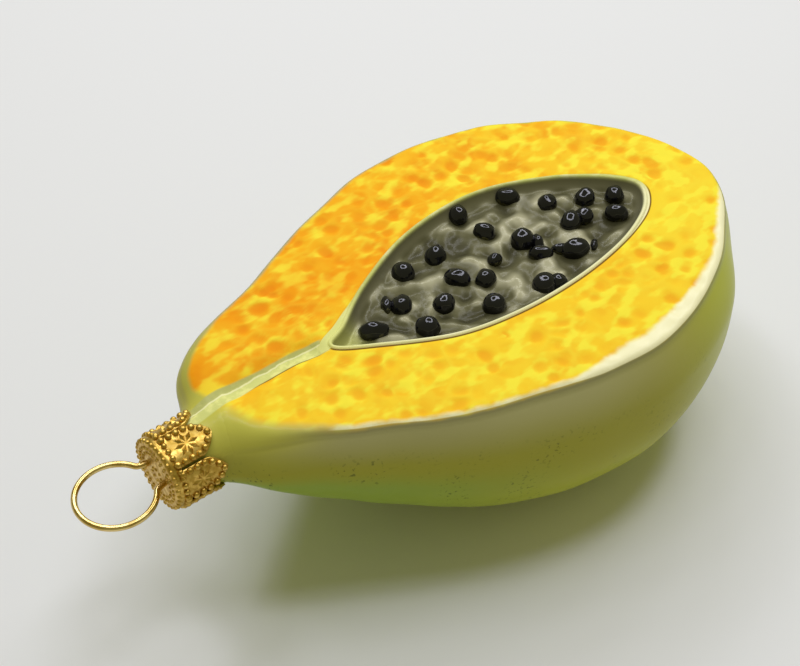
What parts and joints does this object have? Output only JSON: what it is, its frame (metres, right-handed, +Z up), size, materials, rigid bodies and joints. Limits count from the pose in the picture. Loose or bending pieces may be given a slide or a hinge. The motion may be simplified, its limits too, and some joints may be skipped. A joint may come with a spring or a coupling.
{
  "type": "glass fruit ornament",
  "caption": "Hollow blown glass ornament shaped like a halved papaya with seeds in its cut face, a slotted metal crown cap on the neck and a sprung wire ring to hang it by.",
  "frame": {"origin": "middle of the whole object's box, on the surface it lies on", "axes": "+X from the cap towards the blossom end of the fruit, +Z up out of the cut face"},
  "size_m": [0.1166, 0.0642, 0.0344],
  "materials": {
    "painted_glass": "lacquered glass, yellow cut face, olive rind, glossy black seeds",
    "gold_sheet": "stamped gold-coloured sheet",
    "gold_wire": "bright gold-coloured wire"
  },
  "bodies": {
    "root": {"glass_fruit": "painted_glass", "crown_cap": "gold_sheet", "hanger_wire": "gold_wire"}
  },
  "joints": []
}
